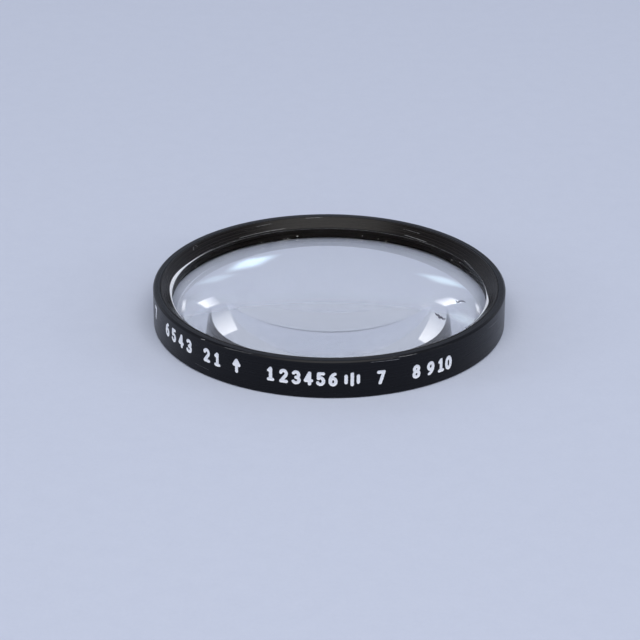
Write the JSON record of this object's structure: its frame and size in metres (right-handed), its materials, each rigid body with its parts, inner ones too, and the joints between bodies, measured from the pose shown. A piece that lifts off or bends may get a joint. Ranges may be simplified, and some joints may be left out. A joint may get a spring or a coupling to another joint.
{
  "type": "close-up filter",
  "caption": "Drop-in close-up lens for a camera: a strong plano-convex glass in a short round black ring with a flared front retaining ring.",
  "frame": {"origin": "centre of the mount ring's flat rear face", "axes": "+Z along the optical axis towards the curved front of the lens; X and Y lie in the rear face"},
  "size_m": [0.0412, 0.0412, 0.0057],
  "materials": {
    "anodised_barrel": "satin black anodised, turned",
    "crown_glass": "polished, clear, uncoated",
    "anodised_inner": "satin black anodised with turning lines"
  },
  "bodies": {
    "root": {"mount_ring": "anodised_barrel", "close_up_lens": "crown_glass", "retaining_ring": "anodised_inner"}
  },
  "joints": []
}
